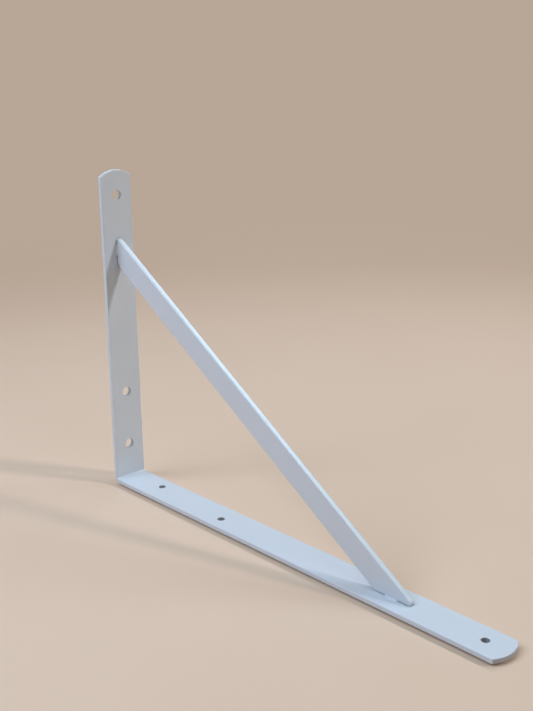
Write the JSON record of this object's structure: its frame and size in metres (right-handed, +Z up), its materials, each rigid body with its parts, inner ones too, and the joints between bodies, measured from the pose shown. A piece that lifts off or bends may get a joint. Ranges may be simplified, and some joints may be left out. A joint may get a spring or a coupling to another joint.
{
  "type": "shelf bracket",
  "caption": "Welded steel shelf bracket: a flat bar bent to a right angle, with punched legs and rounded tips, stiffened by a diagonal flat-bar brace and powder-coated white.",
  "frame": {"origin": "centre of the shelf face, the underside of the long leg as the bracket stands in the picture", "axes": "+X along the shelf leg, from the wall face to its tip; +Y across the flat bar; +Z up along the wall leg"},
  "size_m": [0.4, 0.03, 0.275],
  "materials": {
    "white_coat": "satin white powder coat on steel"
  },
  "bodies": {
    "root": {"angle_strap": "white_coat", "diagonal_brace": "white_coat", "upper_weld": "white_coat", "lower_weld": "white_coat"}
  },
  "joints": []
}
